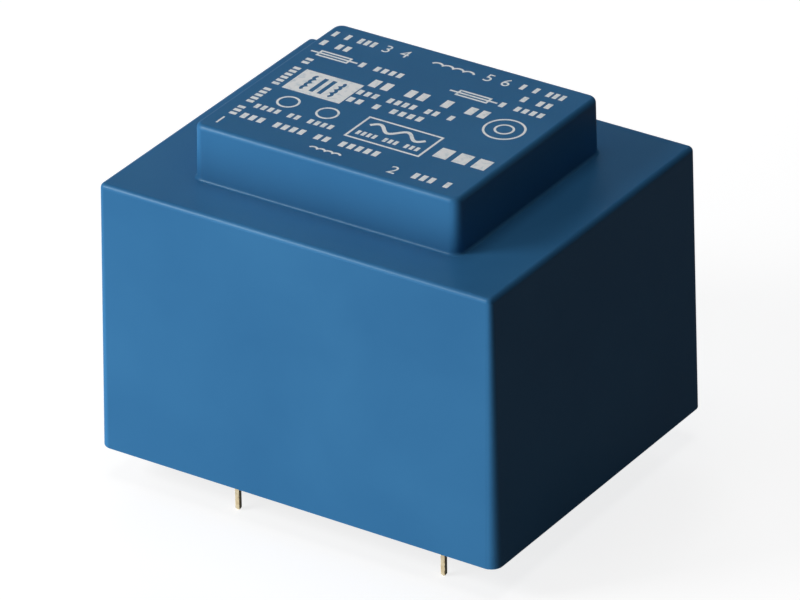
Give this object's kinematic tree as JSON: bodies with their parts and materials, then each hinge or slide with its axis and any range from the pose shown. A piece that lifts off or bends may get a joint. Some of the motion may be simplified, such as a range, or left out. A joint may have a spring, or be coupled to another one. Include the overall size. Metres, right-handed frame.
{
  "type": "encapsulated transformer for printed circuit boards",
  "caption": "Mains transformer cast in a stepped plastic cup, with square solder pins in two rows below for a printed circuit board.",
  "frame": {"origin": "middle of the pin field, halfway between the two rows, in the plane of the cup's rim, which is the board's upper face", "axes": "+X along the long side, +Y from the primary's row of pins to the secondaries' row, +Z away from the board; the pins point along -Z"},
  "size_m": [0.058, 0.0478, 0.0484],
  "materials": {
    "blue_plastic": "satin moulded thermoplastic, mid blue",
    "potting_resin": "filled casting resin, near black, softly uneven",
    "core_steel": "silicon steel sheet, thin varnish",
    "former_plastic": "glass filled polyamide, natural",
    "copper_wire": "enamelled copper wire",
    "tape": "polyester tape, yellow",
    "pin_brass": "tinned brass, dull",
    "solder": "solder, smooth"
  },
  "bodies": {
    "root": {"cup": "blue_plastic", "resin": "potting_resin", "e_sheets": "core_steel", "i_sheets": "core_steel", "coil_former": "former_plastic", "primary_winding": "copper_wire", "primary_tape": "tape", "secondary_winding_1": "copper_wire", "interwinding_tape": "tape", "secondary_winding_2": "copper_wire", "secondary_tape": "tape", "primary_pin_1": "pin_brass", "primary_pin_2": "pin_brass", "secondary_pin_1": "pin_brass", "secondary_pin_2": "pin_brass", "secondary_pin_3": "pin_brass", "secondary_pin_4": "pin_brass", "solder_joints": "solder"}
  },
  "joints": []
}
